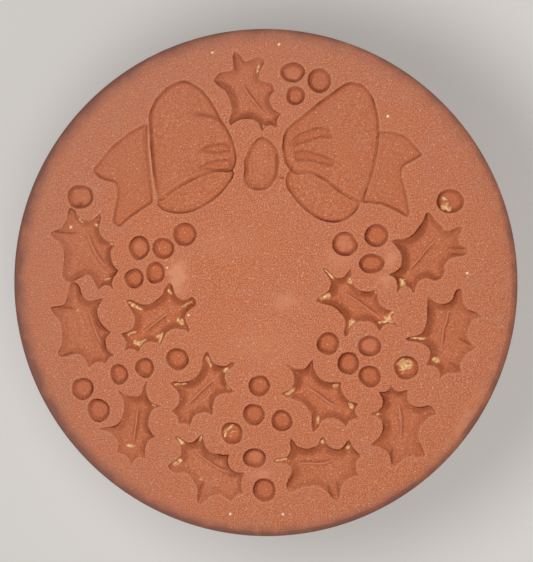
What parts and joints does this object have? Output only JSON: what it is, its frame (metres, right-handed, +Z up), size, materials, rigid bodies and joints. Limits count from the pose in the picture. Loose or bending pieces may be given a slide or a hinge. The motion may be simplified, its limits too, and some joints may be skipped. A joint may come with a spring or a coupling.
{
  "type": "cookie stamp",
  "caption": "Terracotta cookie stamp: a thick round disc with a hollow-cut holly wreath and ribbon bow in its face, on a turned knob handle.",
  "frame": {"origin": "centre of the handle's flat end, which the stamp stands on", "axes": "+Z up through the handle to the stamping face, +Y towards the top of the wreath, +X to the right as the face is looked at"},
  "size_m": [0.0508, 0.0508, 0.04],
  "materials": {
    "head_clay": "matte",
    "handle_clay": "matte",
    "coil_clay": "matte"
  },
  "bodies": {
    "root": {"stamp_head": "head_clay", "handle": "handle_clay", "luting_coil": "coil_clay"}
  },
  "joints": []
}
